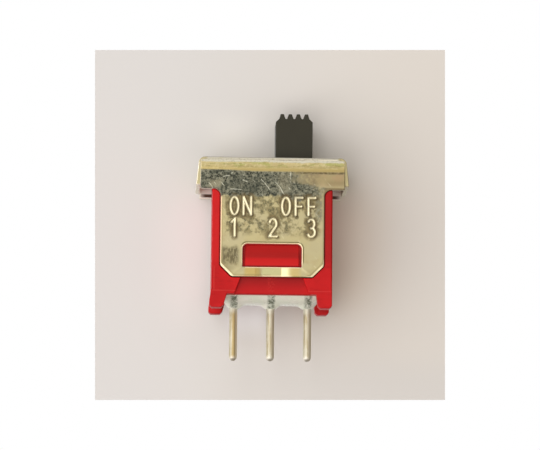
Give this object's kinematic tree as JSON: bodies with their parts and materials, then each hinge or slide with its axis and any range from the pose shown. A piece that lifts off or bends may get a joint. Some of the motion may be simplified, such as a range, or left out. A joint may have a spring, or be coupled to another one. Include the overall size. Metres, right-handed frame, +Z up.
{
  "type": "slide switch",
  "caption": "Sub-miniature slide switch: ridged handle in a slotted metal bracket, moulded housing on feet, straight pins under a resin seal.",
  "frame": {"origin": "on the middle pin's axis, in the plane of the board on which the feet stand", "axes": "+X along the row of pins and the handle's travel, -Y towards the front, +Z up through the handle"},
  "size_m": [0.0104, 0.0052, 0.017],
  "materials": {
    "bracket_plating": "bright tin plate, scuffed",
    "housing_plastic": "red moulded plastic, satin",
    "handle_plastic": "black moulded plastic, matt",
    "plunger_brass": "turned",
    "spring_steel": "drawn wire",
    "contact_silver": "silver",
    "terminal_plating": "tinned",
    "seal_resin": "milky cast resin"
  },
  "bodies": {
    "case": {"bracket": "bracket_plating", "housing": "housing_plastic", "terminal_common": "terminal_plating", "terminal_left": "terminal_plating", "terminal_right": "terminal_plating", "contact_left": "contact_silver", "contact_right": "contact_silver", "epoxy_seal": "seal_resin"},
    "slide": {"slider": "handle_plastic", "plunger_spring": "spring_steel"},
    "plunger": {"plunger": "plunger_brass"},
    "rocker": {"rocker_contact": "contact_silver"}
  },
  "joints": [
    {"name": "slider_travel", "type": "slide", "parent": "case", "child": "slide", "axis": [1, 0, 0], "range_m": [-0.003, 0]},
    {"name": "rocker_tilt", "type": "hinge", "parent": "case", "child": "rocker", "pos_m": [0, 0, 0.00358], "axis": [0, 1, 0], "range_deg": [-16, 0]},
    {"name": "plunger_lift", "type": "slide", "parent": "slide", "child": "plunger", "axis": [0, 0, 1], "range_m": [0, 0.0003], "stiffness_N_per_m": 100, "deforming": ["plunger_spring"]}
  ],
  "couplings": [
    {"joint": "rocker_tilt", "follows": "slider_travel", "rad_per_m": 93.08}
  ]
}
